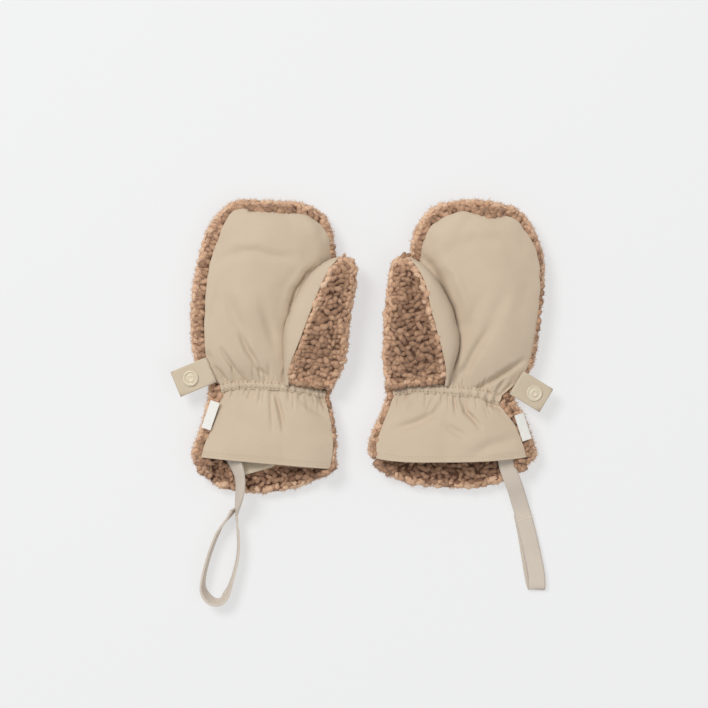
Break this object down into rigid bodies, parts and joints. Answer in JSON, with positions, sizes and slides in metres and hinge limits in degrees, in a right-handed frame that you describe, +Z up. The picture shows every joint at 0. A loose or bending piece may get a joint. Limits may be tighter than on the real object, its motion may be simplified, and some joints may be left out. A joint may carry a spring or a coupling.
{
  "type": "baby_mittens",
  "caption": "Pair of baby mittens laid flat with the palms up: curly pile backs, smooth palms, gathered wrists, flared cuffs, snap tabs and hanging tapes",
  "frame": {"origin": "on the surface the pair lies on, under the middle of the pair's bounding box", "axes": "+X from the left mitten to the right one as seen from above with the fingertips up, +Y from the cuffs to the fingertips, +Z up, away from the surface"},
  "size_m": [0.23, 0.2438, 0.0283],
  "materials": {
    "sherpa": "curly brown pile",
    "softshell": "smooth matt beige cloth with a fine weave",
    "snap_plastic": "cream moulded plastic with a soft shine",
    "label_tape": "off-white woven tape, bare",
    "elastic_tape": "matt beige ribbed elastic tape"
  },
  "bodies": {
    "root": {"left_back": "sherpa", "left_palm": "softshell", "left_casing": "softshell", "left_cuff": "softshell", "left_thumb_inner": "softshell", "left_thumb_outer": "sherpa", "left_cuff_facing": "sherpa", "left_cuff_lining": "softshell", "left_tab": "softshell", "left_snap": "snap_plastic", "left_label": "label_tape", "left_tape": "elastic_tape", "right_back": "sherpa", "right_palm": "softshell", "right_casing": "softshell", "right_cuff": "softshell", "right_thumb_inner": "softshell", "right_thumb_outer": "sherpa", "right_cuff_facing": "sherpa", "right_tab": "softshell", "right_snap": "snap_plastic", "right_label": "label_tape", "right_tape": "elastic_tape"}
  },
  "joints": []
}
